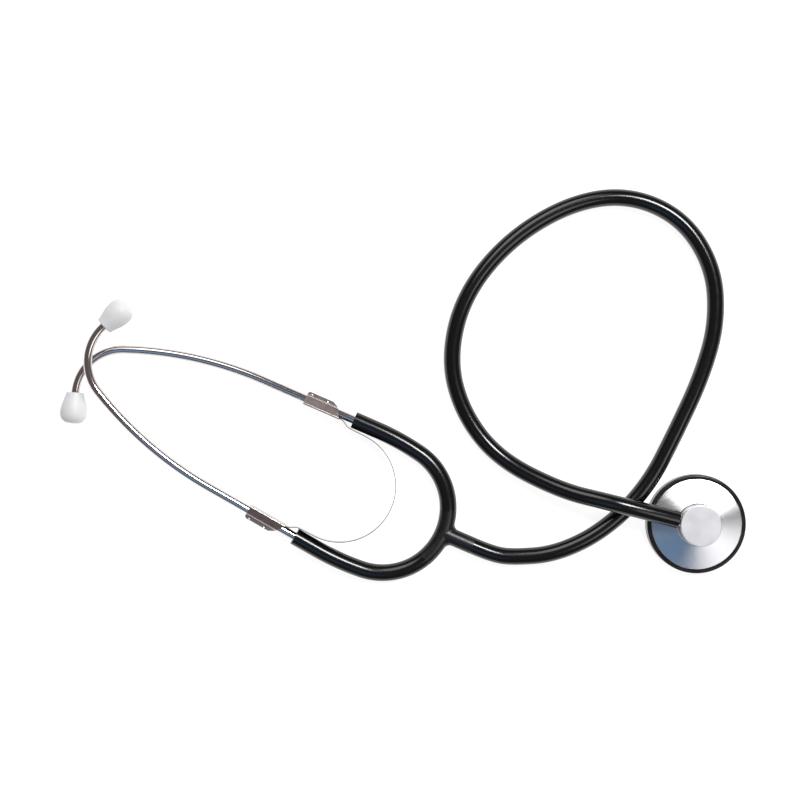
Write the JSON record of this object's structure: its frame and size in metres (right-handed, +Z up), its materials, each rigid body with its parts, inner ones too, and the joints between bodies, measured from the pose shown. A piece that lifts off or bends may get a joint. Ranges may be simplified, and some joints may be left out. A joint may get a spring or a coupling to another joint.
{
  "type": "stethoscope",
  "caption": "Single-head acoustic stethoscope with a soft tube, a sprung headset and a turned chestpiece, for listening to heart and lungs.",
  "frame": {"origin": "centre of the chestpiece's round face, on the table it lies on", "axes": "+Z up from the table, out of the hub's top; +X along the headset's middle line from the ear tips to the fork"},
  "size_m": [0.3158, 0.2249, 0.0251],
  "materials": {
    "tubing": "glossy soft vinyl",
    "spring_steel": "bright rolled",
    "ear_tube_chrome": "polished",
    "clip_steel": "satin plated",
    "ear_tip_plastic": "smooth, slightly translucent",
    "chestpiece_metal": "lathe-turned satin",
    "stem_metal": "polished",
    "diaphragm_film": "smooth",
    "ring_plastic": "moulded gloss"
  },
  "bodies": {
    "tubing": {"main_tube": "tubing", "y_junction": "tubing", "left_arm_tube": "tubing", "right_arm_tube": "tubing", "leaf_spring": "spring_steel"},
    "left_binaural": {"left_ear_tube": "ear_tube_chrome", "left_spring_clip": "clip_steel"},
    "right_binaural": {"right_ear_tube": "ear_tube_chrome", "right_spring_clip": "clip_steel"},
    "left_tip": {"left_ear_tip": "ear_tip_plastic"},
    "right_tip": {"right_ear_tip": "ear_tip_plastic"},
    "chestpiece": {"chest_head": "chestpiece_metal", "stem": "stem_metal", "diaphragm": "diaphragm_film"},
    "retaining_ring": {"diaphragm_ring": "ring_plastic"}
  },
  "joints": [
    {"name": "left_spread", "type": "hinge", "parent": "tubing", "child": "left_binaural", "pos_m": [-0.1366, -0.0411, 0.0043], "axis": [0, 0, -1], "range_deg": [0, 40], "stiffness_Nm_per_rad": 1, "deforming": ["left_arm_tube", "leaf_spring"]},
    {"name": "right_spread", "type": "hinge", "parent": "tubing", "child": "right_binaural", "pos_m": [-0.1366, -0.0791, 0.0053], "axis": [0, 0, 1], "range_deg": [0, 40], "stiffness_Nm_per_rad": 1, "deforming": ["right_arm_tube", "leaf_spring"]},
    {"name": "left_tip_pull", "type": "slide", "parent": "left_binaural", "child": "left_tip", "axis": [0.3665, -0.9304, -0.0041], "range_m": [0, 0.0105]},
    {"name": "right_tip_pull", "type": "slide", "parent": "right_binaural", "child": "right_tip", "axis": [0.3652, 0.9305, -0.0282], "range_m": [0, 0.0105]},
    {"name": "chest_swivel", "type": "hinge", "parent": "tubing", "child": "chestpiece", "pos_m": [0, 0, 0.0113], "axis": [-0.9668, -0.2143, 0.1392], "range_deg": [-90, 90]},
    {"name": "ring_turn", "type": "hinge", "parent": "chestpiece", "child": "retaining_ring", "pos_m": [0, 0, 0], "axis": [0, 0, 1], "continuous": true}
  ]
}
